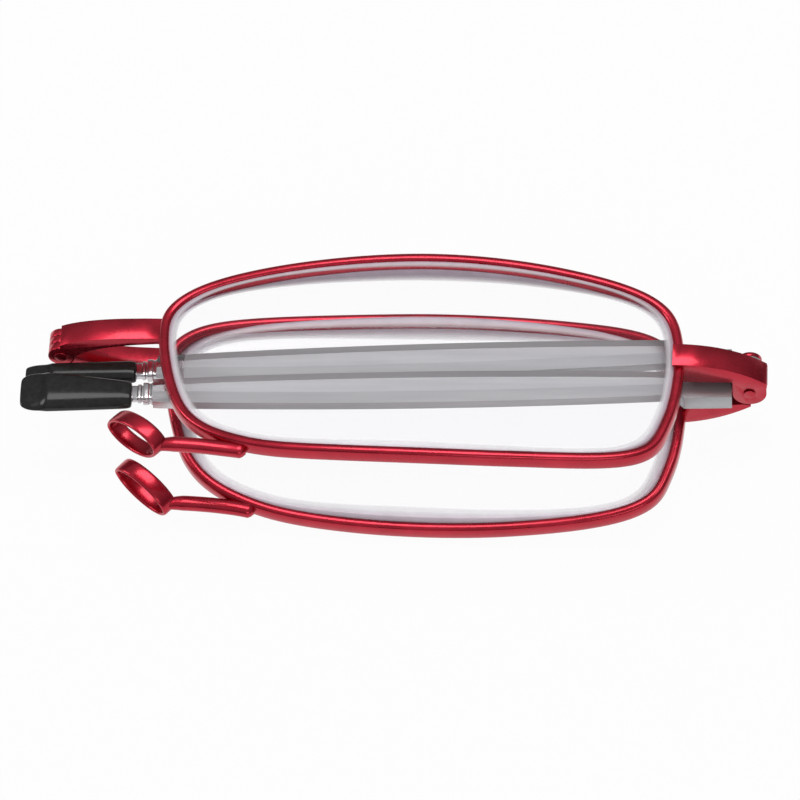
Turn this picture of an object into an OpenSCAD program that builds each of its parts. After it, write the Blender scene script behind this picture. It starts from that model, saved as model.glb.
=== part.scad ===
// Pocket reading glasses that fold in the middle of the bridge, with telescopic temples.
// Folded: the left-eye half lies over the right-eye half, with both temples between them.
// X runs from the bridge hinge (-X) to the temple hinges (+X), +Y is up when worn,
// +Z is up as the folded glasses lie. The origin is under the middle of the folded stack.

/* [Eye] */
// Width of one rim, outside
rim_width = 52.9; // [42:0.1:64]
// Height of one rim, outside
rim_height = 26.9; // [20:0.1:34]
// Width of the rim wire, seen from the front
wire_width = 1.1; // [0.7:0.1:2]
// Depth of the rim wire, front to back
wire_depth = 1.75; // [1.2:0.05:3]
// Radius of the curve that both rims follow
base_curve = 123; // [80:1:400]
// Angle that each rim leans away from the fold plane, wider at the bottom of the lenses
rim_lean = 2.9; // [0:0.1:6]
// How far the lens front sits behind the rim front
lens_recess = 0.35; // [0:0.05:1]
// Thickness of the lens at its middle
lens_middle = 2.5; // [1.5:0.1:4]
// Radius of the lens back surface
lens_back = 400; // [200:10:900]

/* [Folded stack] */
// Distance between the two rim fronts at the middle of the rims
stack_height = 14.2; // [11:0.1:20]
// Gap between pieces that slide or turn past each other
running_gap = 0.05; // [0.03:0.01:0.1]
// Gap left for solder or cement between fixed pieces
seat_gap = 0.02; // [0.01:0.01:0.1]

/* [Bridge] */
// Distance from the rim to the bridge hinge axis
bridge_reach = 10.4; // [7:0.1:16]
// Height of the lower side of the bridge above the middle of the rim
bridge_low = 4.6; // [1:0.1:8]
// Width of the bridge strip, along the hinge axis
bridge_width = 2.6; // [1.8:0.1:4]
// Radius of the bridge knuckles
bridge_knuckle = 1.3; // [1:0.05:2]
// Radius of the bridge pin
bridge_pin = 0.45; // [0.3:0.05:0.7]

/* [End pieces] */
// Distance from the rim to the temple hinge axis
end_reach = 6.6; // [5:0.1:10]
// Height of the lower side of the end pieces above the middle of the rim
end_low = -0.5; // [-3:0.1:3]
// Width of the end pieces, along the hinge axis
end_width = 2.7; // [2.2:0.1:4]
// Radius of the left end piece's ears
left_ear = 1.7; // [1.2:0.05:1.7]
// Radius of the right end piece's ears
right_ear = 1.2; // [1:0.05:2]
// Thickness of the left ears
left_ear_thick = 0.6; // [0.4:0.05:1]
// Thickness of the right ears
right_ear_thick = 0.45; // [0.3:0.05:1]
// Thickness of the right hinge tongue
right_tongue = 0.5; // [0.4:0.05:1.5]
// Radius of the temple hinge pins
hinge_pin = 0.4; // [0.3:0.05:0.6]

/* [Temples] */
// Distance from the hinge axis to the free end of the main tube
main_end = 60.1; // [50:0.1:75]
// Width of the main tube at the middle of its length
main_belly = 3.9; // [3.2:0.1:6]
// Width of the main tube at its two ends
main_mouth = 2.9; // [2.8:0.1:5]
// Thickness of the main tube
main_thick = 1.9; // [1.8:0.05:3]
// Chamfer along the main tube's edges, across its width
main_bevel = 1.1; // [0.4:0.1:1.3]
// Outside width of the middle tube
middle_width = 2.3; // [1.9:0.05:2.4]
// Outside thickness of the middle tube
middle_thick = 1.2; // [1.1:0.05:1.3]
// Length of the middle tube
middle_length = 30; // [20:0.5:40]
// Wall of the middle tube
middle_wall = 0.2; // [0.15:0.05:0.3]
// Length of the inner rod from its stop to the ear tip
rod_length = 29.2; // [20:0.5:40]
// How far the middle tube shows when it is pushed in
middle_shows = 1.0; // [0.4:0.1:3]
// How far the inner rod shows when it is pushed in
rod_shows = 1.1; // [0.4:0.1:3]
// Angle that each folded temple rises from its hinge towards its own lens
temple_rise = 0.75; // [0:0.05:1.5]
// Angle that each folded temple drops towards the bottom of the lenses
temple_drop = 1.35; // [0:0.05:3]
// Distance between the two folded temples, side by side
temple_pitch = 4.2; // [4.1:0.1:7]

/* [Ear tips] */
// Length of the ear tips
tip_length = 11.4; // [9:0.1:30]
// Thickness of the ear tips
tip_thick = 1.5; // [1.3:0.1:3]

/* [Nose pads] */
// Length of the nose pad loop
pad_length = 7.1; // [5:0.1:10]
// Width of the nose pad loop
pad_width = 4.1; // [3:0.1:6]
// Width of the ribbon that the nose pad is bent from
pad_band = 1.8; // [1:0.1:3]
// Thickness of the ribbon that the nose pad is bent from
pad_ribbon = 0.45; // [0.3:0.05:0.8]

/* [Hidden] */
$fn = 48;
half_width = rim_width / 2;
half_height = rim_height / 2;
front_height = stack_height / 2;
hinge_x = half_width + end_reach;
bridge_x = -half_width - bridge_reach;
end_high = end_low + end_width;
bridge_high = bridge_low + bridge_width;
knuckle_wide = (bridge_width - 2 * running_gap) / 3;
knuckle_room = 0.1;
meet_gap = 0.06;
pin_head = 0.12;
pin_head_wide = 0.2;
tongue_gap = 0.03;

// Right fork: it stands beside the left one, so the two close into each other
fork_gap = 0.2;
right_fork_low = end_high + fork_gap;
right_fork_wide = 2 * right_ear_thick + 2 * running_gap + right_tongue;
left_tongue = end_width - 2 * left_ear_thick - 2 * running_gap;
left_tongue_low = end_low + left_ear_thick + running_gap;
right_tongue_low = right_fork_low + right_ear_thick + running_gap;
roof = left_ear + 0.15;
end_tip_x = hinge_x + left_ear + 0.05;
roof_low = roof - 0.95;
roof_high = roof - 0.35;
fork_back = 1.75;

// Temples, measured along their own length from the hinge axis
left_axis_y = end_low + 1.08;
right_axis_y = left_axis_y + temple_pitch;
block_start = fork_back + 0.05;
block_end = 7.3;
block_flare = 6.6;
block_wide = 2.9;
block_thick = 1.8;
plug_end = 10.3;
cavity_wide = middle_width + 2 * running_gap;
cavity_thick = middle_thick + 2 * running_gap;
bore_wide = middle_width - 2 * middle_wall;
bore_thick = middle_thick - 2 * middle_wall;
rod_wide = bore_wide - 2 * running_gap;
rod_thick = bore_thick - 2 * running_gap;
middle_end = main_end + middle_shows;
tip_start = middle_end + rod_shows;
rod_start = tip_start - rod_length;
socket_depth = 4;
stop_length = 1;
stop_gap = 0.02;
tip_end_x = hinge_x - tip_start - tip_length;

// Edges of the ear tips at the rod end and at the free end, across their width
left_tip_low = [-1.7, -1.9];
left_tip_high = [1.4, 2.7];
right_tip_low = [-1.4, -1.2];
right_tip_high = [1.1, 1.1];

// Screw that closes each split rim
rim_screw = 0.4;
rim_screw_head = 0.7;
rim_screw_long = 2.2;
screw_x = half_width + 1.9;
screw_z = 3.05;

// Nose pads: middle of the loop, how it is turned and tipped, and the stem's two faces
pad_x = -half_width - 1.2;
pad_y = -8.7;
pad_z = 4.4;
pad_turn = -39.6;
pad_pitch = 13.5;
pad_roll = 87;
stem_low_z = 4.3;
stem_high_z = 5.5;

shift_x = -(tip_end_x + end_tip_x) / 2;

// Rim shape as points for a smooth closed curve, in halves of its width and height
eye_points = [[-1, 0.32], [-0.93, 0.72], [-0.62, 0.92], [0, 1], [0.55, 0.885], [0.9, 0.65],
              [1, 0.2], [0.965, -0.52], [0.82, -0.9], [0.35, -1], [-0.27, -0.95],
              [-0.66, -0.8], [-0.9, -0.44]];
curve_steps = 7;
ball_facets = 720;

function blend(a, b, c, d, t) = 0.5 * (2 * b + (c - a) * t + (2 * a - 5 * b + 4 * c - d) * t * t
    + (3 * b - a - 3 * c + d) * t * t * t);
function closed_curve(p) = [for (i = [0 : len(p) - 1], s = [0 : curve_steps - 1])
    blend(p[(i + len(p) - 1) % len(p)], p[i], p[(i + 1) % len(p)], p[(i + 2) % len(p)],
          s / curve_steps)];
function bend(a, b, c) = [for (s = [0 : 12])
    let (t = s / 12) (1 - t) * (1 - t) * a + 2 * t * (1 - t) * b + t * t * c];

// Half the main tube's width, from one end (-1) over the middle (0) to the other (1)
function barrel_half(t) = main_mouth / 2 + (main_belly - main_mouth) / 2 * (1 - t * t);

// Places: the left half as drawn, the right half as its mirror image below the fold plane
module left_side() {
    translate([shift_x, 0, front_height]) children();
}

module right_side() {
    translate([shift_x, 0, front_height]) mirror([0, 0, 1]) children();
}

module on_rim() {
    translate([0, 0, front_height]) rotate([-rim_lean, 0, 0]) children();
}

// A side view in X and Z, made solid from y_low to y_high
module along_hinge(y_low, y_high) {
    translate([0, y_high, 0]) rotate([90, 0, 0]) linear_extrude(y_high - y_low) children();
}

module eye_outline(inset) {
    polygon([for (p = closed_curve(eye_points))
        [p[0] * (half_width - inset), p[1] * (half_height - inset)]]);
}

module eye_block(inset) {
    on_rim() translate([0, 0, -10]) linear_extrude(16) eye_outline(inset);
}

// Room for the rim and the lens: the wire's front stays covered, with a seat gap
module eye_room() {
    eye_block(wire_width);
    on_rim() intersection() {
        translate([0, 0, -10]) linear_extrude(16) eye_outline(-seat_gap);
        translate([0, 0, -base_curve]) sphere(base_curve + seat_gap, $fn = ball_facets);
    }
}

module rim() {
    on_rim() intersection() {
        translate([0, 0, -10]) linear_extrude(16) difference() {
            eye_outline(0);
            eye_outline(wire_width);
        }
        translate([0, 0, -base_curve]) difference() {
            sphere(base_curve, $fn = ball_facets);
            sphere(base_curve - wire_depth, $fn = ball_facets);
        }
    }
}

module lens() {
    on_rim() intersection() {
        translate([0, 0, -10]) linear_extrude(16) eye_outline(wire_width + seat_gap);
        translate([0, 0, -base_curve]) sphere(base_curve - lens_recess, $fn = ball_facets);
        difference() {
            translate([-rim_width, -rim_height, -10]) cube([2 * rim_width, 2 * rim_height, 20]);
            translate([0, 0, -lens_back - lens_recess - lens_middle])
                sphere(lens_back, $fn = ball_facets);
        }
    }
}

// Bridge: an arched strip from the rim to the knuckles
module bridge_side() {
    polygon(concat(
        bend([bridge_x + meet_gap, 1.75], [bridge_x + 3.2, 3.2], [-half_width + 1, 2.8]),
        [[-half_width + 1, 1.95]],
        bend([-half_width - 0.6, 1.95], [bridge_x + 3.2, 1.6], [bridge_x + 1.65, meet_gap]),
        [[bridge_x + meet_gap, meet_gap]]));
}

module bridge_ear(y_low) {
    along_hinge(y_low, y_low + knuckle_wide) {
        translate([bridge_x, 0]) circle(bridge_knuckle);
        bridge_side();
    }
}

module bridge_half(slots) {
    difference() {
        union() {
            along_hinge(bridge_low, bridge_high) difference() {
                bridge_side();
                translate([bridge_x, 0]) circle(bridge_knuckle + knuckle_room);
            }
            for (slot = slots) {
                bridge_ear(bridge_low + slot * (knuckle_wide + running_gap));
            }
        }
        along_hinge(bridge_low - 1, bridge_high + 1)
            translate([bridge_x, 0]) circle(bridge_pin + seat_gap);
        eye_block(-seat_gap);
    }
}

// A headed pin along the hinge axis, standing out of both faces by the head's thickness
module headed_pin(pin_x, y_low, y_high, radius) {
    along_hinge(y_low - pin_head, y_high + pin_head) translate([pin_x, 0]) circle(radius);
    for (y = [y_low - pin_head - seat_gap, y_high + seat_gap]) {
        along_hinge(y, y + pin_head) translate([pin_x, 0]) circle(radius + pin_head_wide);
    }
}

module middle_pin() {
    headed_pin(bridge_x, bridge_low, bridge_high, bridge_pin);
}

// End piece: a curved bar that starts over the rim wire, then a roof over two ears
module end_side(tip_x, tip_low, tip_high) {
    polygon(concat(
        bend([half_width - 1, 4.75], [tip_x - 3.65, 4.6], [tip_x, tip_high]),
        [[tip_x, tip_low], [tip_x - 0.85, roof - 0.1], [hinge_x - fork_back, roof],
         [half_width - 1, 2]]));
}

module ear_side(radius) {
    translate([hinge_x, 0]) circle(radius);
    polygon([[hinge_x - radius, 0], [hinge_x + radius, 0], [hinge_x + radius, roof - 0.9],
             [hinge_x + 0.9, roof], [hinge_x - radius, roof + 0.2]]);
}

module screw_hole(radius) {
    along_hinge(end_high - rim_screw_long - seat_gap, end_high + 1)
        translate([screw_x, screw_z]) circle(radius);
}

module end_piece(bar_tip, fork_low, fork_wide, ear, ear_thick) {
    difference() {
        union() {
            along_hinge(end_low, end_high) end_side(bar_tip[0], bar_tip[1], bar_tip[2]);
            along_hinge(end_high - 0.5, fork_low + fork_wide) intersection() {
                end_side(end_tip_x, roof_low, roof_high);
                translate([hinge_x - 2.6, 0]) square([6, 6]);
            }
            for (y = [fork_low, fork_low + fork_wide - ear_thick]) {
                along_hinge(y, y + ear_thick) ear_side(ear);
            }
        }
        along_hinge(end_low - 1, fork_low + fork_wide + 1)
            translate([hinge_x, 0]) circle(hinge_pin + seat_gap);
        screw_hole(rim_screw + seat_gap);
        eye_room();
    }
}

// Screw that closes the split rim round the lens, driven in from above
module rim_screw() {
    along_hinge(end_high - rim_screw_long, end_high + 0.1)
        translate([screw_x, screw_z]) circle(rim_screw);
    difference() {
        along_hinge(end_high + seat_gap, end_high + 0.3)
            translate([screw_x, screw_z]) circle(rim_screw_head);
        translate([screw_x, end_high + 0.3, screw_z]) cube([2, 0.25, 0.2], center = true);
    }
}

module fork_pin(fork_low, fork_wide) {
    along_hinge(fork_low - pin_head, fork_low + fork_wide)
        translate([hinge_x, 0]) circle(hinge_pin);
    along_hinge(fork_low - pin_head - seat_gap, fork_low - seat_gap)
        translate([hinge_x, 0]) circle(hinge_pin + pin_head_wide);
}

// Nose pad: a ribbon stem along the rim that ends in an almond-shaped loop
module almond(length, width) {
    radius = (length * length + width * width) / (4 * width);
    intersection() {
        translate([0, radius - width / 2]) circle(radius);
        translate([0, width / 2 - radius]) circle(radius);
    }
}

module pad_place() {
    translate([pad_x, pad_y, pad_z]) rotate([0, 0, pad_turn]) rotate([0, -pad_pitch, 0])
        rotate([pad_roll, 0, 0]) children();
}

module nose_pad() {
    difference() {
        union() {
            difference() {
                pad_place() linear_extrude(pad_band, center = true)
                    almond(pad_length, pad_width);
                pad_place() linear_extrude(2 * pad_band, center = true)
                        almond(pad_length - 3 * pad_ribbon, pad_width - 2 * pad_ribbon);
            }
            translate([0, 0, stem_low_z]) linear_extrude(stem_high_z - stem_low_z)
                polygon([[-half_width + 10.2, -10.8], [-half_width + 10, -12],
                         [-half_width + 7.5, -11.7], [-half_width + 4.8, -11.25],
                         [-half_width + 1.4, -10.95], [-half_width + 1.4, -9.9],
                         [-half_width + 4.8, -9.8], [-half_width + 7.5, -10.2]]);
        }
        eye_block(-seat_gap);
    }
}

// Temple pieces lie along -X from the hinge axis
module temple(axis_y) {
    translate([hinge_x, axis_y, 0]) rotate([0, temple_rise, 0])
        rotate([0, 0, temple_drop]) children();
}

module bar(start, end, wide, thick) {
    translate([-end, -wide / 2, -thick / 2]) cube([end - start, wide, thick]);
}

module bevelled_bar(start, end, wide, thick, bevel) {
    half = wide / 2;
    side = thick * 0.28;
    translate([-end, 0, 0]) rotate([90, 0, 90]) linear_extrude(end - start)
        polygon([[-half, -side], [bevel - half, -thick / 2], [half - bevel, -thick / 2],
                 [half, -side], [half, side], [half - bevel, thick / 2],
                 [bevel - half, thick / 2], [-half, side]]);
}

// The block's outline: its own width at the hinge, flaring to the tube's width under the rim
module block_outline(low, high) {
    polygon([[-block_start, low], [-block_flare, low], [-block_end + seat_gap, -block_wide / 2],
             [-block_end + seat_gap, block_wide / 2], [-block_flare, high],
             [-block_start, high]]);
}

module hinge_block(axis_y, block_low, block_high, tongue_low, tongue_thick, radius) {
    difference() {
        union() {
            along_hinge(tongue_low, tongue_low + tongue_thick) {
                translate([hinge_x, 0]) circle(radius);
                translate([hinge_x - block_start - 0.5, -block_thick / 4])
                    square([block_start + 0.5, block_thick / 2]);
            }
            temple(axis_y) {
                translate([0, 0, -block_thick / 2]) linear_extrude(block_thick)
                    block_outline(block_low, block_high);
                bar(block_end - 0.5, plug_end, cavity_wide - 2 * seat_gap,
                    cavity_thick - 2 * seat_gap);
            }
        }
        along_hinge(tongue_low - 1, tongue_low + tongue_thick + 1)
            translate([hinge_x, 0]) circle(hinge_pin + tongue_gap);
    }
}

module barrel_outline() {
    middle = -(main_end + block_end) / 2;
    reach = (main_end - block_end) / 2;
    steps = [-1 : 0.125 : 1];
    polygon(concat(
        [for (t = steps) [middle + t * reach, barrel_half(t)]],
        [for (t = steps) [middle - t * reach, -barrel_half(t)]]));
}

module main_tube(axis_y) {
    temple(axis_y) difference() {
        intersection() {
            bevelled_bar(block_end, main_end, main_belly, main_thick, main_bevel);
            translate([0, 0, -main_thick]) linear_extrude(2 * main_thick) barrel_outline();
        }
        bar(block_end - 1, main_end + 1, cavity_wide, cavity_thick);
    }
}

module middle_tube(axis_y) {
    temple(axis_y) difference() {
        bar(middle_end - middle_length, middle_end, middle_width, middle_thick);
        bar(middle_end - middle_length - 1, middle_end + 1, bore_wide, bore_thick);
    }
}

module middle_stop(axis_y) {
    stop_at = middle_end - middle_length;
    temple(axis_y) bar(stop_at - stop_length, stop_at, cavity_wide - 2 * stop_gap,
                       cavity_thick - 2 * stop_gap);
}

module inner_rod(axis_y) {
    temple(axis_y) bar(rod_start, tip_start + socket_depth, rod_wide, rod_thick);
}

module rod_stop(axis_y) {
    temple(axis_y) bar(rod_start - stop_length, rod_start, bore_wide - 2 * stop_gap,
                       bore_thick - 2 * stop_gap);
}

// low and high: the tip's two edges at the rod end and at the free end
module ear_tip(axis_y, low, high) {
    near_end = -tip_start;
    free_end = -tip_start - tip_length;
    temple(axis_y) difference() {
        translate([0, 0, -tip_thick / 2]) linear_extrude(tip_thick)
            polygon(concat(
                [[near_end, low[0]]],
                [[near_end, high[0]]],
                [[free_end + 3.5, high[1] - 0.1]],
                bend([free_end + 1.8, high[1]], [free_end, high[1]], [free_end, 0]),
                bend([free_end, 0], [free_end, low[1]], [free_end + 1.8, low[1]]),
                [[free_end + 3.5, low[1] + 0.1]]));
        bar(tip_start - 1, tip_start + socket_depth + seat_gap, rod_wide + 2 * seat_gap,
            rod_thick + 2 * seat_gap);
    }
}

module right_rim() color("firebrick") right_side() rim();
module left_rim() color("firebrick") left_side() rim();
module right_lens() color("lightblue") right_side() lens();
module left_lens() color("lightblue") left_side() lens();
module right_bridge_half() color("firebrick") right_side() bridge_half([1]);
module left_bridge_half() color("firebrick") left_side() bridge_half([0, 2]);
module bridge_pin() color("silver") left_side() middle_pin();

module right_end_piece() {
    color("firebrick") right_side()
        end_piece([hinge_x + 0.1, roof, roof + 0.25], right_fork_low, right_fork_wide, right_ear,
                  right_ear_thick);
}

module left_end_piece() {
    color("firebrick") left_side()
        end_piece([end_tip_x, roof_low, roof_high], end_low, end_width, left_ear,
                  left_ear_thick);
}

module right_nose_pad() color("firebrick") right_side() nose_pad();
module left_nose_pad() color("firebrick") left_side() nose_pad();
module right_rim_screw() color("silver") right_side() rim_screw();
module left_rim_screw() color("silver") left_side() rim_screw();
module right_hinge_pin() color("silver") right_side() fork_pin(right_fork_low, right_fork_wide);
module left_hinge_pin() color("silver") left_side() fork_pin(end_low, end_width);

module right_hinge_block() {
    color("silver") right_side()
        hinge_block(right_axis_y, -1.9, -0.2, right_tongue_low, right_tongue, right_ear);
}

module left_hinge_block() {
    color("silver") left_side()
        hinge_block(left_axis_y, -2.2, 1.6, left_tongue_low, left_tongue, left_ear);
}

module right_main_tube() color("silver") right_side() main_tube(right_axis_y);
module left_main_tube() color("silver") left_side() main_tube(left_axis_y);
module right_middle_tube() color("gainsboro") right_side() middle_tube(right_axis_y);
module left_middle_tube() color("gainsboro") left_side() middle_tube(left_axis_y);
module right_middle_stop() color("white") right_side() middle_stop(right_axis_y);
module left_middle_stop() color("white") left_side() middle_stop(left_axis_y);
module right_inner_rod() color("gainsboro") right_side() inner_rod(right_axis_y);
module left_inner_rod() color("gainsboro") left_side() inner_rod(left_axis_y);
module right_rod_stop() color("white") right_side() rod_stop(right_axis_y);
module left_rod_stop() color("white") left_side() rod_stop(left_axis_y);

module right_ear_tip() {
    color("black") right_side() ear_tip(right_axis_y, right_tip_low, right_tip_high);
}

module left_ear_tip() {
    color("black") left_side() ear_tip(left_axis_y, left_tip_low, left_tip_high);
}

right_rim();
right_lens();
right_bridge_half();
right_end_piece();
right_nose_pad();
right_rim_screw();
right_hinge_pin();
right_hinge_block();
right_main_tube();
right_middle_tube();
right_middle_stop();
right_inner_rod();
right_rod_stop();
right_ear_tip();
left_rim();
left_lens();
left_bridge_half();
left_end_piece();
left_nose_pad();
left_rim_screw();
left_hinge_pin();
left_hinge_block();
left_main_tube();
left_middle_tube();
left_middle_stop();
left_inner_rod();
left_rod_stop();
left_ear_tip();
bridge_pin();
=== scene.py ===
import math

import bmesh
import bpy
from mathutils import Matrix, Quaternion, Vector


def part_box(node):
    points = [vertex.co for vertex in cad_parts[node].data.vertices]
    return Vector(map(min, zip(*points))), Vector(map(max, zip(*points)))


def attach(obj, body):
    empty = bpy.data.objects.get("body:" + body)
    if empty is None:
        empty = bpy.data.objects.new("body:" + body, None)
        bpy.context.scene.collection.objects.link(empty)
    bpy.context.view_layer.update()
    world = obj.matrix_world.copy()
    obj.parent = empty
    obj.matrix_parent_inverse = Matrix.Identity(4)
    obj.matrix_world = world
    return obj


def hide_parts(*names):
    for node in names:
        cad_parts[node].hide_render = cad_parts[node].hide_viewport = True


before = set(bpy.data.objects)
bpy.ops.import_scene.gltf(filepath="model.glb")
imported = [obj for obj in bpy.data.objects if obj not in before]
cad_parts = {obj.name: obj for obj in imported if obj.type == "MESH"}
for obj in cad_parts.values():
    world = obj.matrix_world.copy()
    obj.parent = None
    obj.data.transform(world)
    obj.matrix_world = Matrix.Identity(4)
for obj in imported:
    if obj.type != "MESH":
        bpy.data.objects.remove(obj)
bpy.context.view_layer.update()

MM = 0.001
SIDES = ("right", "left")

# Sizes of one half, in millimetres, drawn for the left half above the fold plane. Later sizes stand
# with the pieces that they belong to.
RIM_LOW, RIM_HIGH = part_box("left_rim")
MIDDLE_X = (RIM_LOW.x + RIM_HIGH.x) / 2 / MM
HALF_WIDTH = (RIM_HIGH.x - RIM_LOW.x) / 2 / MM
HALF_HEIGHT = 13.45
FOLD_Z = 7.1
LEAN = math.radians(2.9)
BASE_CURVE = 123.0
EYE_POINTS = [  # the eye's outline, in shares of half its width and height
    (-1, 0.32), (-0.93, 0.72), (-0.62, 0.92), (0, 1), (0.55, 0.885), (0.9, 0.65), (1, 0.2),
    (0.965, -0.52), (0.82, -0.9), (0.35, -1), (-0.27, -0.95), (-0.66, -0.8), (-0.9, -0.44),
]
CURVE_STEPS = 14

HINGE_X = HALF_WIDTH + 6.6
HINGE_Y = {"left": 0.58, "right": 4.78}
TEMPLE_RISE = math.radians(0.75)
TEMPLE_DROP = math.radians(1.35)

# Distances along a temple from its hinge axis
TUBE_START = 7.3
ROD_START = 33.0
SLEEVE_START = 57.3
TUBE_END = 60.1
MIDDLE_END = 61.1
TIP_START = 62.2


# ---- Placing ----

def on_side(side, p):
    """A point drawn for the left half, in the row frame, for either half."""
    z = p.z if side == "left" else -p.z
    return Vector((p.x + MIDDLE_X, p.y, FOLD_Z + z)) * MM


def on_rim(p):
    """A point on the upright rim, leaned and lifted to its place above the fold plane."""
    q = Matrix.Rotation(-LEAN, 3, "X") @ p
    return q + Vector((0, 0, FOLD_Z))


def on_temple(side, p):
    """A point measured along the temple from its hinge axis."""
    q = Matrix.Rotation(TEMPLE_RISE, 3, "Y") @ (Matrix.Rotation(TEMPLE_DROP, 3, "Z") @ p)
    return q + Vector((HINGE_X, HINGE_Y[side], 0))


# ---- Curves ----

def blend(a, b, c, d, t):
    """A smooth step from b to c, with a and d as their outer neighbours."""
    return 0.5 * (2 * b + (c - a) * t + (2 * a - 5 * b + 4 * c - d) * t * t
                  + (3 * b - a - 3 * c + d) * t ** 3)


def closed_curve(points, steps):
    n = len(points)
    out = []
    for i in range(n):
        a, b, c, d = (Vector(points[(i + k) % n]) for k in (-1, 0, 1, 2))
        out += [blend(a, b, c, d, s / steps) for s in range(steps)]
    return out


def open_curve(points, steps):
    pts = [Vector(p) for p in points]
    pts = [2 * pts[0] - pts[1]] + pts + [2 * pts[-1] - pts[-2]]
    out = []
    for i in range(1, len(pts) - 2):
        out += [blend(*pts[i - 1:i + 3], s / steps) for s in range(steps)]
    return out + [pts[-2]]


def eye_curve(inset):
    """The eye's outline, drawn smaller by the inset."""
    return [Vector((p.x * (HALF_WIDTH - inset), p.y * (HALF_HEIGHT - inset), 0))
            for p in closed_curve(EYE_POINTS, CURVE_STEPS)]


def rounded_section(width, height, power, count):
    """A superellipse: power 2 is an ellipse, a larger power is nearer to a rectangle."""
    out = []
    for i in range(count):
        a = 2 * math.pi * i / count
        c, s = math.cos(a), math.sin(a)
        out.append((math.copysign(abs(c) ** (2 / power), c) * width / 2,
                    math.copysign(abs(s) ** (2 / power), s) * height / 2))
    return out


# ---- Meshes ----

SAME_POINT = 1e-7


def soft_edge(obj, width, angle, segments=2):
    """A narrow round along the edges that are sharper than the angle, in degrees."""
    edge = obj.modifiers.new("edge", "BEVEL")
    edge.width = width * MM
    edge.segments = segments
    edge.limit_method = "ANGLE"
    edge.angle_limit = math.radians(angle)
    return edge


def clean(mesh):
    """Joins points that coincide and turns every face outwards."""
    bm = bmesh.new()
    bm.from_mesh(mesh)
    bmesh.ops.remove_doubles(bm, verts=bm.verts, dist=SAME_POINT)
    bmesh.ops.recalc_face_normals(bm, faces=bm.faces)
    bm.to_mesh(mesh)
    bm.free()


def store_inwards(mesh, values):
    """Keeps each point's distance from the lens's edge, which the lens material reads."""
    near = mesh.attributes.new("inwards", "FLOAT", "POINT")
    for i, v in enumerate(values):
        near.data[i].value = v


def new_piece(name, side, points, faces, body, replaced, material, inwards=None):
    """A smooth piece that rides on a body. A lens brings its own "inwards" value for each point, and
    its faces are wound as given."""
    mesh = bpy.data.meshes.new(name)
    mesh.from_pydata([on_side(side, p) for p in points], [], faces)
    if inwards is None:
        clean(mesh)
    else:
        store_inwards(mesh, inwards)
        if side == "right":
            mesh.flip_normals()
    for poly in mesh.polygons:
        poly.use_smooth = True
    mesh.materials.append(material)
    obj = bpy.data.objects.new(name, mesh)
    bpy.context.scene.collection.objects.link(obj)
    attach(obj, body)
    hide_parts(*replaced)
    return obj


def join_rings(rings, closed):
    """Points and faces through a list of equal rings. An open run gets a cap on each end."""
    n = len(rings[0])
    points = [p for ring in rings for p in ring]
    faces = []
    for i in range(len(rings) if closed else len(rings) - 1):
        j = (i + 1) % len(rings)
        faces += [(i * n + k, i * n + (k + 1) % n, j * n + (k + 1) % n, j * n + k)
                  for k in range(n)]
    if not closed:
        faces.append(tuple(range(n)))
        faces.append(tuple(range((len(rings) - 1) * n, len(rings) * n)))
    return points, faces


def merged(*solids):
    """Several lists of points and faces as one."""
    points, faces = [], []
    for p, f in solids:
        start = len(points)
        points += p
        faces += [tuple(i + start for i in face) for face in f]
    return points, faces


def sweep(path, across, section, closed=False, scales=None):
    """Sections along a path. across(i) is the section's first direction at point i."""
    rings = []
    n = len(path)
    for i, p in enumerate(path):
        ahead = path[(i + 1) % n] if closed or i < n - 1 else path[i]
        behind = path[i - 1] if closed or i > 0 else path[i]
        along = (ahead - behind).normalized()
        u = across(i)
        u = (u - along * u.dot(along)).normalized()
        v = along.cross(u)
        k = scales[i] if scales else 1
        rings.append([p + u * a * k + v * b * k for a, b in section])
    return join_rings(rings, closed)


# ---- Materials ----

def material(name):
    m = bpy.data.materials.new(name)
    m.use_nodes = True
    nodes = m.node_tree.nodes
    return m, nodes, m.node_tree.links, nodes["Principled BSDF"]


def noise_node(nodes, links, scale, detail, stretch=(1, 1, 1)):
    where = nodes.new("ShaderNodeTexCoord")
    place = nodes.new("ShaderNodeMapping")
    place.inputs["Scale"].default_value = stretch
    tex = nodes.new("ShaderNodeTexNoise")
    tex.inputs["Scale"].default_value = scale
    tex.inputs["Detail"].default_value = detail
    links.new(where.outputs["Object"], place.inputs["Vector"])
    links.new(place.outputs["Vector"], tex.inputs["Vector"])
    return tex


def ramp_node(nodes, links, source, stops):
    ramp = nodes.new("ShaderNodeValToRGB")
    e = ramp.color_ramp.elements
    while len(e) < len(stops):
        e.new(0.5)
    for item, (at, colour) in zip(e, stops):
        item.position = at
        item.color = (*colour, 1)
    links.new(source, ramp.inputs["Fac"])
    return ramp


def grey(v):
    return (v, v, v)


def add_bump(nodes, links, shader, source, height, strength):
    bump = nodes.new("ShaderNodeBump")
    bump.inputs["Strength"].default_value = strength
    bump.inputs["Distance"].default_value = height
    links.new(source, bump.inputs["Height"])
    links.new(bump.outputs["Normal"], shader.inputs["Normal"])


def red_lacquer():
    m, nodes, links, shader = material("red_lacquer")
    flakes = noise_node(nodes, links, 5200, 3)
    cloud = noise_node(nodes, links, 420, 4)
    tone = ramp_node(nodes, links, cloud.outputs["Fac"],
                     [(0.3, (0.43, 0.010, 0.028)), (0.7, (0.53, 0.016, 0.040))])
    links.new(tone.outputs["Color"], shader.inputs["Base Color"])
    rough = ramp_node(nodes, links, cloud.outputs["Fac"], [(0.3, grey(0.24)), (0.7, grey(0.33))])
    links.new(rough.outputs["Color"], shader.inputs["Roughness"])
    shader.inputs["Metallic"].default_value = 0.85
    shader.inputs["Coat Weight"].default_value = 0.35
    shader.inputs["Coat Roughness"].default_value = 0.12
    add_bump(nodes, links, shader, flakes.outputs["Fac"], 0.000012, 0.35)
    return m


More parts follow.
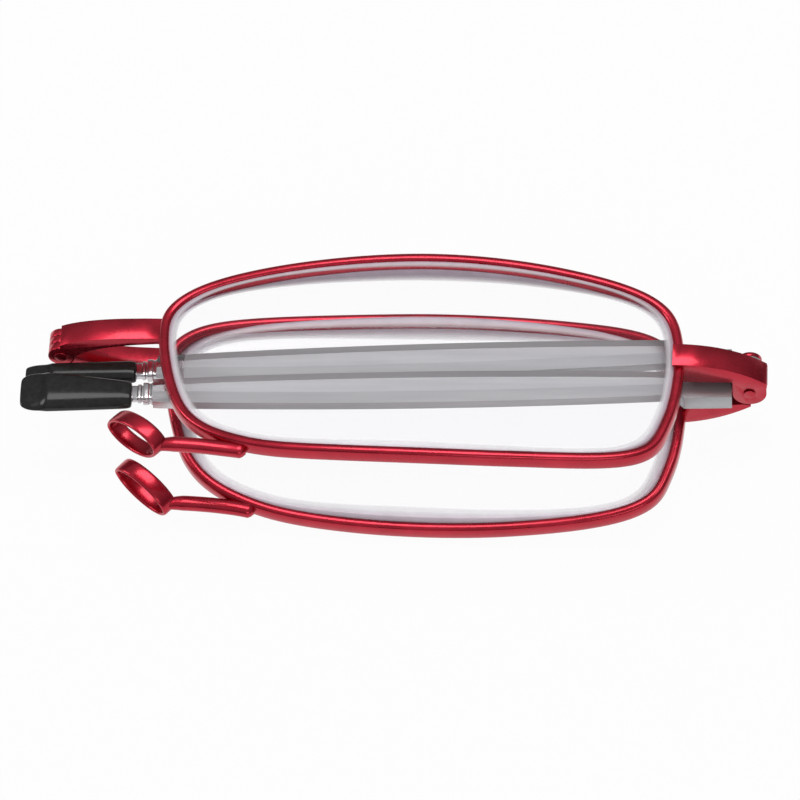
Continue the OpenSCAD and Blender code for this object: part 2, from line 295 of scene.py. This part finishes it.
def satin_steel():
    m, nodes, links, shader = material("satin_steel")
    streaks = noise_node(nodes, links, 900, 4, (0.06, 1, 1))
    specks = noise_node(nodes, links, 2600, 2)
    tone = ramp_node(nodes, links, streaks.outputs["Fac"],
                     [(0.3, (0.44, 0.44, 0.455)), (0.7, (0.52, 0.52, 0.53))])
    links.new(tone.outputs["Color"], shader.inputs["Base Color"])
    rough = ramp_node(nodes, links, specks.outputs["Fac"], [(0.3, grey(0.40)), (0.7, grey(0.50))])
    links.new(rough.outputs["Color"], shader.inputs["Roughness"])
    shader.inputs["Metallic"].default_value = 0.6
    add_bump(nodes, links, shader, streaks.outputs["Fac"], 0.00003, 0.4)
    return m


def polished_steel():
    m, nodes, links, shader = material("polished_steel")
    streaks = noise_node(nodes, links, 1500, 3, (0.2, 1, 1))
    tone = ramp_node(nodes, links, streaks.outputs["Fac"],
                     [(0.35, (0.52, 0.50, 0.52)), (0.65, (0.64, 0.62, 0.64))])
    links.new(tone.outputs["Color"], shader.inputs["Base Color"])
    rough = ramp_node(nodes, links, streaks.outputs["Fac"], [(0.3, grey(0.16)), (0.7, grey(0.24))])
    links.new(rough.outputs["Color"], shader.inputs["Roughness"])
    shader.inputs["Metallic"].default_value = 1
    add_bump(nodes, links, shader, streaks.outputs["Fac"], 0.00001, 0.3)
    return m


def black_tip():
    m, nodes, links, shader = material("black_tip")
    grain = noise_node(nodes, links, 1900, 3)
    tone = ramp_node(nodes, links, grain.outputs["Fac"],
                     [(0.3, (0.013, 0.014, 0.013)), (0.7, (0.021, 0.022, 0.021))])
    links.new(tone.outputs["Color"], shader.inputs["Base Color"])
    rough = ramp_node(nodes, links, grain.outputs["Fac"], [(0.3, grey(0.12)), (0.7, grey(0.18))])
    links.new(rough.outputs["Color"], shader.inputs["Roughness"])
    shader.inputs["Specular IOR Level"].default_value = 0.28
    add_bump(nodes, links, shader, grain.outputs["Fac"], 0.000008, 0.3)
    return m


def stop_plastic():
    m, nodes, links, shader = material("stop_plastic")
    grain = noise_node(nodes, links, 1500, 2)
    tone = ramp_node(nodes, links, grain.outputs["Fac"],
                     [(0.3, (0.72, 0.71, 0.68)), (0.7, (0.8, 0.79, 0.76))])
    links.new(tone.outputs["Color"], shader.inputs["Base Color"])
    shader.inputs["Roughness"].default_value = 0.6
    return m


def clear_lens(name, band):
    """A coated lens: clear in the middle, with its ground edge showing as a pale band. The band's
    lavender tint is painted light from the red rim. On the right lens the wider band is also a painted
    veil over the far rim, which looks washed out through the upper lens. The width of the band is a
    share of HALF_WIDTH, as the "inwards" values of the lens are."""
    m, nodes, links, shader = material(name)
    out = nodes["Material Output"]
    near = nodes.new("ShaderNodeAttribute")
    near.attribute_name = "inwards"
    # Opaque near the edge: the pale ground edge, and on the right lens also a painted veil over its far
    # rim
    edge_and_painted_rim_veil = ramp_node(nodes, links, near.outputs["Fac"],
                     [(0.0, grey(0.9)), (band * 0.5, grey(0.75)), (band * 0.95, grey(0.32)),
                      (band, grey(0.006))])
    # Lavender at the very edge: painted light of the red rim in the ground edge, paling to the edge's
    # own near-white
    tone = ramp_node(nodes, links, near.outputs["Fac"],
                     [(0.0, (0.72, 0.58, 0.68)), (band * 0.4, (0.84, 0.78, 0.86)),
                      (band * 0.6, (0.93, 0.92, 0.95)), (band * 0.85, (0.80, 0.78, 0.82))])
    dust = noise_node(nodes, links, 700, 3)
    fine = ramp_node(nodes, links, dust.outputs["Fac"], [(0.3, grey(0.9)), (0.7, grey(1.0))])
    both = nodes.new("ShaderNodeMix")
    both.data_type = "RGBA"
    both.blend_type = "MULTIPLY"
    both.inputs["Factor"].default_value = 1
    links.new(tone.outputs["Color"], both.inputs["A"])
    links.new(fine.outputs["Color"], both.inputs["B"])
    links.new(both.outputs["Result"], shader.inputs["Base Color"])
    shader.inputs["Roughness"].default_value = 0.12
    through = nodes.new("ShaderNodeBsdfTransparent")
    through.inputs["Color"].default_value = (0.998, 0.996, 1, 1)
    shine = nodes.new("ShaderNodeBsdfGlossy")
    shine.inputs["Roughness"].default_value = 0.02
    shine.inputs["Color"].default_value = (0.93, 0.88, 1, 1)
    facing = nodes.new("ShaderNodeFresnel")
    facing.inputs["IOR"].default_value = 1.12
    clear = nodes.new("ShaderNodeMixShader")
    links.new(facing.outputs["Fac"], clear.inputs["Fac"])
    links.new(through.outputs["BSDF"], clear.inputs[1])
    links.new(shine.outputs["BSDF"], clear.inputs[2])
    mix = nodes.new("ShaderNodeMixShader")
    links.new(edge_and_painted_rim_veil.outputs["Color"], mix.inputs["Fac"])
    links.new(clear.outputs["Shader"], mix.inputs[1])
    links.new(shader.outputs["BSDF"], mix.inputs[2])
    links.new(mix.outputs["Shader"], out.inputs["Surface"])
    return m


RED = red_lacquer()
SATIN = satin_steel()
CHROME = polished_steel()
BLACK = black_tip()
BUSH = stop_plastic()
CLEAR = {
    "left": clear_lens("clear_lens_left", 0.032),
    # The lower lens's band is wider: a painted veil that shows its far rim washed out, as seen through
    # the upper lens
    "right": clear_lens("clear_lens_right", 0.052),
}


# ---- Rims and lenses ----

WIRE_WIDTH = 1.1
WIRE_DEPTH = 1.75
WIRE_POWER = 3.2
LENS_SEAT = 0.1
LENS_RECESS = 0.35
LENS_MIDDLE = 2.5
LENS_EDGE = 0.5
LENS_BACK = 400.0
LENS_RINGS = [0.12, 0.25, 0.4, 0.55, 0.7, 0.8, 0.87, 0.91, 0.94, 0.96, 0.98, 1.0]


def rim(side):
    """A flat wire along the eye's outline, bent to the base curve of the lens."""
    outer = eye_curve(0)
    n = len(outer)
    path, lateral = [], []
    for i, p in enumerate(outer):
        along = outer[(i + 1) % n] - outer[i - 1]
        outwards = Vector((-along.y, along.x, 0)).normalized()
        if outwards.dot(p) < 0:
            outwards.negate()
        q = p - outwards * WIRE_WIDTH / 2
        front, back = (math.sqrt(r ** 2 - q.x ** 2 - q.y ** 2) - BASE_CURVE
                       for r in (BASE_CURVE, BASE_CURVE - WIRE_DEPTH))
        path.append(Vector((q.x, q.y, (front + back) / 2)))
        lateral.append(outwards)
    section = rounded_section(WIRE_WIDTH, WIRE_DEPTH, WIRE_POWER, 20)
    points, faces = sweep(path, lambda i: lateral[i], section, closed=True)
    new_piece(side + "_rim_wire", side, [on_rim(p) for p in points], faces,
              "frame_" + side, [side + "_rim"], RED)


def front_z(p):
    """The height of a lens's front face at a point of the eye."""
    r = BASE_CURVE - LENS_RECESS
    return math.sqrt(r * r - p.x ** 2 - p.y ** 2) - BASE_CURVE


def back_z(p):
    """The height of its back face, which is nearly flat but never closer than the edge's thickness."""
    drop = LENS_BACK - math.sqrt(LENS_BACK ** 2 - p.x ** 2 - p.y ** 2)
    return min(-LENS_RECESS - LENS_MIDDLE - drop, front_z(p) - LENS_EDGE)


def lens(side):
    """Rings of points on the front and on the back, each with a middle point, and a ground edge."""
    outline = eye_curve(WIRE_WIDTH - LENS_SEAT)
    n = len(outline)
    points, inwards, faces = [], [], []
    for height in (front_z, back_z):
        start = len(points)
        for share in LENS_RINGS:
            for p in outline:
                q = p * share
                points.append(Vector((q.x, q.y, height(q))))
                inwards.append((1 - share) * p.length / HALF_WIDTH)
        middle = len(points)
        points.append(Vector((0, 0, height(Vector((0, 0, 0))))))
        inwards.append(1.0)
        front = height is front_z
        for k in range(n):
            m = (k + 1) % n
            tri = (middle, start + m, start + k)
            faces.append(tri if front else tri[::-1])
            for r in range(len(LENS_RINGS) - 1):
                near, far = start + r * n, start + (r + 1) * n
                quad = (near + k, near + m, far + m, far + k)
                faces.append(quad if front else quad[::-1])
    front_edge = (len(LENS_RINGS) - 1) * n
    back_edge = front_edge + len(LENS_RINGS) * n + 1
    for k in range(n):
        m = (k + 1) % n
        faces.append((front_edge + k, front_edge + m, back_edge + m, back_edge + k))
    new_piece(side + "_lens_glass", side, [on_rim(p) for p in points], faces,
              "frame_" + side, [side + "_lens"], CLEAR[side], inwards)


# ---- Nose pads ----

PAD_PLACE = Vector((-HALF_WIDTH - 1.2, -8.7, 4.4))
PAD_TURN = math.radians(-39.6)
PAD_PITCH = math.radians(13.5)
PAD_ROLL = math.radians(87)
PAD_LENGTH = 7.1
PAD_WIDTH = 4.1
PAD_BAND = 1.8
PAD_RIBBON = 0.42
PAD_POWERS = (0.95, 1.15)  # along and across, where 1 and 1 would be an ellipse
STEM_ROOT = Vector((PAD_LENGTH / 2 - 0.7, -0.2, 0))  # within the loop's ribbon, in the loop's own frame
STEM_WIDTH = 1.55
STEM_THICK = 1.25
STEM_NECK = 0.72  # the share of its section that the stem starts with, and in how many steps it grows
NECK_STEPS = 9
STEM_ENDING = [0.8, 0.45]  # the rounded end of the stem, as shares of its section
STEM_POINTS = [
    (-HALF_WIDTH + 2.4, -10.35, 4.9),
    (-HALF_WIDTH + 5.0, -10.55, 4.9),
    (-HALF_WIDTH + 7.8, -10.95, 4.9),
    (-HALF_WIDTH + 9.9, -11.35, 5.0),
]


def almond(length, width, count):
    """An ellipse with slightly pointed ends and flatter sides, as a closed line."""
    out = []
    for i in range(count):
        a = 2 * math.pi * i / count
        c, s = math.cos(a), math.sin(a)
        x = math.copysign(abs(c) ** PAD_POWERS[0], c) * length / 2
        y = math.copysign(abs(s) ** PAD_POWERS[1], s) * width / 2
        out.append(Vector((x, y, 0)))
    return out


def nose_pad(side):
    """A ribbon bent into a loop, on a stem that runs along the rim."""
    turn = (Matrix.Rotation(PAD_TURN, 3, "Z") @ Matrix.Rotation(-PAD_PITCH, 3, "Y")
            @ Matrix.Rotation(PAD_ROLL, 3, "X"))
    line = almond(PAD_LENGTH - PAD_RIBBON, PAD_WIDTH - PAD_RIBBON, 72)
    loop = [turn @ p + PAD_PLACE for p in line]
    axis = turn @ Vector((0, 0, 1))
    ribbon = rounded_section(PAD_BAND, PAD_RIBBON, 3.5, 16)
    ring = sweep(loop, lambda i: axis, ribbon, closed=True)
    stem = open_curve([PAD_PLACE + turn @ STEM_ROOT] + STEM_POINTS, 8)
    scales = [STEM_NECK + (1 - STEM_NECK) * min(1, i / NECK_STEPS) for i in range(len(stem))]
    scales[-2:] = STEM_ENDING
    wire = rounded_section(STEM_WIDTH, STEM_THICK, 2.5, 20)
    rod = sweep(stem, lambda i: Vector((0, 1, 0)), wire, scales=scales)
    points, faces = merged(ring, rod)
    new_piece(side + "_nose_pad_ribbon", side, points, faces, "frame_" + side,
              [side + "_nose_pad"], RED)


# ---- Ear tips ----

TIP_LENGTH = 11.4
TIP_THICK = 1.5
TIP_EDGES = {  # low and high edge at the rod end, then at the free end
    "left": ((-1.7, 1.4), (-1.9, 2.7)),
    "right": ((-1.4, 1.1), (-1.2, 1.1)),
}
TIP_STATIONS = [0, 0.02, 0.06, 0.2, 0.4, 0.6, 0.75, 0.765, 0.815, 0.83, 0.88, 0.93, 0.97, 0.99, 1.0]
TIP_FLARED = 0.7  # where the free end's edges are reached, as a share of the length like the next three
FALL_START = 0.765
FALL_END = 0.815
CORNER_START = 0.86
TIP_MOUTH = {0: (0.86, 0.8), 0.02: (0.95, 0.93)}  # station: shares of width and thickness


def tip_section(low, high, thick):
    """One half of the section from the low edge to the high edge, and the other half back again."""
    slope = min(1.0, (high - low) / 4)
    half = [
        (low, thick * 0.3), (low + 0.12, thick * 0.55), (low + slope, thick),
        ((low + high) / 2, thick), (high - slope * 0.6, thick),
        (high - 0.1, thick * 0.6), (high, thick * 0.3),
    ]
    return [(low, -thick * 0.3)] + half + [(y, -z) for y, z in half[:0:-1]]


def ear_tip(side):
    """A flat sleeve that steps down near its free end and ends in round corners. The left one also
    widens on its way there."""
    (low_a, high_a), (low_b, high_b) = TIP_EDGES[side]
    rings = []
    for s in TIP_STATIONS:
        t = min(1, s / TIP_FLARED)
        low = low_a + (low_b - low_a) * t
        high = high_a + (high_b - high_a) * t
        corner = max(0, (s - CORNER_START) / (1 - CORNER_START))
        pull = 1 - math.sqrt(max(0, 1 - corner ** 2))
        fall = min(1, max(0, (s - FALL_START) / (FALL_END - FALL_START)))
        taper = max(0, (s - FALL_END) / (1 - FALL_END))
        narrow, thin = TIP_MOUTH.get(s, (1, 1))
        middle = (low + high) / 2
        half = (high - low) / 2 * (1 - 0.42 * pull) * narrow
        thick = TIP_THICK / 2 * (1 - 0.42 * fall - 0.25 * taper) * thin
        x = -TIP_START - TIP_LENGTH * s
        rings.append([Vector((x, y, z)) for y, z in tip_section(middle - half, middle + half, thick)])
    points, faces = join_rings(rings, False)
    obj = new_piece(side + "_ear_tip_sleeve", side, [on_temple(side, p) for p in points], faces,
                    side + "_inner", [side + "_ear_tip"], BLACK)
    smooth = obj.modifiers.new("smooth", "SUBSURF")
    smooth.levels = smooth.render_levels = 2


# ---- Telescopic stages ----

TUBE_BELLY = 3.9
TUBE_MOUTH = 2.9
TUBE_THICK = 1.9
TUBE_BEVEL = 1.1
TUBE_SIDE = 0.56  # the upright part of each side face, as a share of the thickness
TUBE_ROUND = 0.03
CAVITY = (1.2, 1.15, 0.65, 0.6)
MIDDLE_LENGTH = 30.0
MIDDLE_SIZE = (2.3, 1.2)
MIDDLE_BORE = (1.9, 0.8)
GROOVE_SIZE = (2.12, 1.06)
ROD_SIZE = (1.8, 0.7)
COLLAR_SIZE = (2.0, 0.92)
SOCKET = 4.0


def stage_piece(side, name, body, node, stations, bore=None):
    """A rounded bar or tube along the temple. stations: (distance, (width, thickness))."""
    def ring(s, size):
        return [on_temple(side, Vector((-s, a, b))) for a, b in rounded_section(*size, 5, 32)]

    rings = [ring(*row) for row in stations]
    if bore:
        rings += [ring(stations[-1][0], bore), ring(stations[0][0], bore)]
    points, faces = join_rings(rings, bool(bore))
    obj = new_piece(side + name, side, points, faces, body, [side + node], CHROME)
    soft_edge(obj, 0.05, 35)


def octagon(side, s, half, flat, thick, upright):
    """A flat ring with bevelled corners, at a distance along the temple."""
    return [on_temple(side, Vector((-s, y, z))) for y, z in (
        (-half, -upright), (-flat, -thick), (flat, -thick), (half, -upright),
        (half, upright), (flat, thick), (-flat, thick), (-half, upright))]


def tube_ring(side, s, slim=0):
    """The main tube's outside at a distance along the temple, made smaller by slim."""
    middle, reach = (TUBE_END + TUBE_START) / 2, (TUBE_END - TUBE_START) / 2
    half = TUBE_MOUTH / 2 + (TUBE_BELLY - TUBE_MOUTH) / 2 * (1 - ((s - middle) / reach) ** 2) - slim
    return octagon(side, s, half, half - TUBE_BEVEL, TUBE_THICK / 2 - slim, TUBE_THICK * TUBE_SIDE / 2)


def tube_part(side, name, start, end, count, material):
    """A stretch of the main tube, slightly rounded at both ends, round the cavity."""
    rings = [tube_ring(side, start + (end - start) * i / count) for i in range(count + 1)]
    rings[0] = tube_ring(side, start, TUBE_ROUND)
    rings[-1] = tube_ring(side, end, TUBE_ROUND)
    rings += [octagon(side, s, *CAVITY) for s in (end, start)]
    points, faces = join_rings(rings, True)
    obj = new_piece(side + name, side, points, faces, side + "_temple",
                    [side + "_main_tube"], material)
    soft_edge(obj, 0.07, 14).harden_normals = True


def telescope(side):
    """A flat tube with a groove near its end, and a bar with a collar that runs inside it."""
    end = MIDDLE_END
    stage_piece(side, "_middle_sleeve", side + "_middle", "_middle_tube", [
        (end - MIDDLE_LENGTH, MIDDLE_SIZE), (end - 0.86, MIDDLE_SIZE), (end - 0.78, GROOVE_SIZE),
        (end - 0.62, GROOVE_SIZE), (end - 0.54, MIDDLE_SIZE), (end, MIDDLE_SIZE)], MIDDLE_BORE)
    stage_piece(side, "_inner_bar", side + "_inner", "_inner_rod", [
        (ROD_START, ROD_SIZE), (end + 0.15, ROD_SIZE), (end + 0.22, COLLAR_SIZE),
        (end + 0.5, COLLAR_SIZE), (end + 0.57, ROD_SIZE), (TIP_START + SOCKET, ROD_SIZE)])


# ---- CAD pieces with softened edges ----

def soften(node, material, width, segments=2):
    """The CAD's own piece, with its flat faces joined and its edges rounded a little."""
    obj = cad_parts[node]
    obj.data.materials.clear()
    obj.data.materials.append(material)
    for poly in obj.data.polygons:
        poly.material_index = 0
    weld = obj.modifiers.new("weld", "WELD")
    weld.merge_threshold = 1e-6
    flat = obj.modifiers.new("flat", "DECIMATE")
    flat.decimate_type = "DISSOLVE"
    flat.angle_limit = math.radians(1.5)
    soft_edge(obj, width, 25, segments).harden_normals = True
    for poly in obj.data.polygons:
        poly.use_smooth = True


for side in SIDES:
    rim(side)
    lens(side)
    nose_pad(side)
    ear_tip(side)
    soften(side + "_bridge_half", RED, 0.32, 3)
    soften(side + "_end_piece", RED, 0.12)
    soften(side + "_rim_screw", CHROME, 0.05)
    soften(side + "_hinge_pin", RED, 0.05)
    soften(side + "_hinge_block", SATIN, 0.08)
    tube_part(side, "_temple_barrel", TUBE_START, SLEEVE_START, 24, SATIN)
    tube_part(side, "_temple_sleeve", SLEEVE_START, TUBE_END, 4, CHROME)
    telescope(side)
    soften(side + "_middle_stop", BUSH, 0.05)
    soften(side + "_rod_stop", BUSH, 0.03)
soften("bridge_pin", RED, 0.05)


# ---- Floor, light and camera ----

FLOOR_GAP = 0.02  # keeps the floor clear of the lower rim
FLOOR_GLOW = 0.96  # the share of plain white in the floor, for the camera and for reflections
CAMERA_PLACE = Vector((48.575, -372.3, 488.1))
CAMERA_TARGET = Vector((1.57, -6.864, 14.532))
CAMERA_ROLL = math.radians(-5.98)
CAMERA_REACH = 600.0  # at this distance the picture is as wide as the next value
WIDTH_SEEN = 79.2
SENSOR = 36.0


def floor():
    size = 3.0
    mesh = bpy.data.meshes.new("floor")
    mesh.from_pydata([(-size, -size, 0), (size, -size, 0), (size, size, 0), (-size, size, 0)],
                     [], [(0, 1, 2, 3)])
    obj = bpy.data.objects.new("floor", mesh)
    bpy.context.scene.collection.objects.link(obj)
    m, nodes, links, shader = material("white_floor")
    grain = noise_node(nodes, links, 60, 3)
    tone = ramp_node(nodes, links, grain.outputs["Fac"], [(0.3, grey(0.80)), (0.7, grey(0.82))])
    links.new(tone.outputs["Color"], shader.inputs["Base Color"])
    shader.inputs["Roughness"].default_value = 0.8
    shader.inputs["Specular IOR Level"].default_value = 0
    glow = nodes.new("ShaderNodeEmission")
    glow.inputs["Strength"].default_value = 1
    path = nodes.new("ShaderNodeLightPath")
    seen = nodes.new("ShaderNodeMath")
    seen.operation = "MAXIMUM"
    links.new(path.outputs["Is Camera Ray"], seen.inputs[0])
    links.new(path.outputs["Is Glossy Ray"], seen.inputs[1])
    pick = nodes.new("ShaderNodeMath")
    pick.operation = "MULTIPLY"
    pick.inputs[1].default_value = FLOOR_GLOW
    links.new(seen.outputs["Value"], pick.inputs[0])
    mix = nodes.new("ShaderNodeMixShader")
    links.new(pick.outputs["Value"], mix.inputs["Fac"])
    links.new(shader.outputs["BSDF"], mix.inputs[1])
    links.new(glow.outputs["Emission"], mix.inputs[2])
    links.new(mix.outputs["Shader"], nodes["Material Output"].inputs["Surface"])
    mesh.materials.append(m)
    obj.location.z = -FLOOR_GAP * MM


def sky():
    """A soft grey dome that is brighter overhead, and plain white behind the floor."""
    world = bpy.data.worlds.new("studio")
    bpy.context.scene.world = world
    world.use_nodes = True
    nodes, links = world.node_tree.nodes, world.node_tree.links
    where = nodes.new("ShaderNodeTexCoord")
    split = nodes.new("ShaderNodeSeparateXYZ")
    links.new(where.outputs["Generated"], split.inputs["Vector"])
    tone = ramp_node(nodes, links, split.outputs["Z"],
                     [(0.0, grey(0.10)), (0.25, grey(0.16)), (0.6, grey(0.5)), (1.0, grey(0.75))])
    dim = nodes["Background"]
    links.new(tone.outputs["Color"], dim.inputs["Color"])
    dim.inputs["Strength"].default_value = 0.7
    white = nodes.new("ShaderNodeBackground")
    white.inputs["Color"].default_value = (1, 1, 1, 1)
    white.inputs["Strength"].default_value = 1
    path = nodes.new("ShaderNodeLightPath")
    mix = nodes.new("ShaderNodeMixShader")
    links.new(path.outputs["Is Camera Ray"], mix.inputs["Fac"])
    links.new(dim.outputs["Background"], mix.inputs[1])
    links.new(white.outputs["Background"], mix.inputs[2])
    links.new(mix.outputs["Shader"], nodes["World Output"].inputs["Surface"])


def softbox(name, place, size, power):
    """A flat lamp that faces the glasses, in metres and watts."""
    light = bpy.data.lights.new(name, "AREA")
    light.shape = "RECTANGLE"
    light.size, light.size_y = size
    light.energy = power
    obj = bpy.data.objects.new(name, light)
    obj.location = place
    obj.rotation_euler = (-Vector(place)).to_track_quat("-Z", "Y").to_euler()
    bpy.context.scene.collection.objects.link(obj)


def camera():
    cam = bpy.data.cameras.new("camera")
    cam.sensor_width = SENSOR
    cam.lens = SENSOR * CAMERA_REACH / WIDTH_SEEN
    cam.clip_start = 0.01
    obj = bpy.data.objects.new("camera", cam)
    obj.location = CAMERA_PLACE * MM
    look = (CAMERA_TARGET - CAMERA_PLACE).to_track_quat("-Z", "Y")
    obj.rotation_mode = "QUATERNION"
    obj.rotation_quaternion = look @ Quaternion((0, 0, 1), CAMERA_ROLL)
    bpy.context.scene.collection.objects.link(obj)
    bpy.context.scene.camera = obj


floor()
sky()
softbox("top_light", (0.05, 0.27, 0.78), (0.5, 0.3), 2.2)
softbox("left_light", (-0.75, 0.2, 0.55), (0.25, 0.45), 1.8)
softbox("front_light", (0.25, -0.8, 0.5), (0.6, 0.25), 1.2)
camera()
bpy.context.scene.view_settings.view_transform = "Standard"
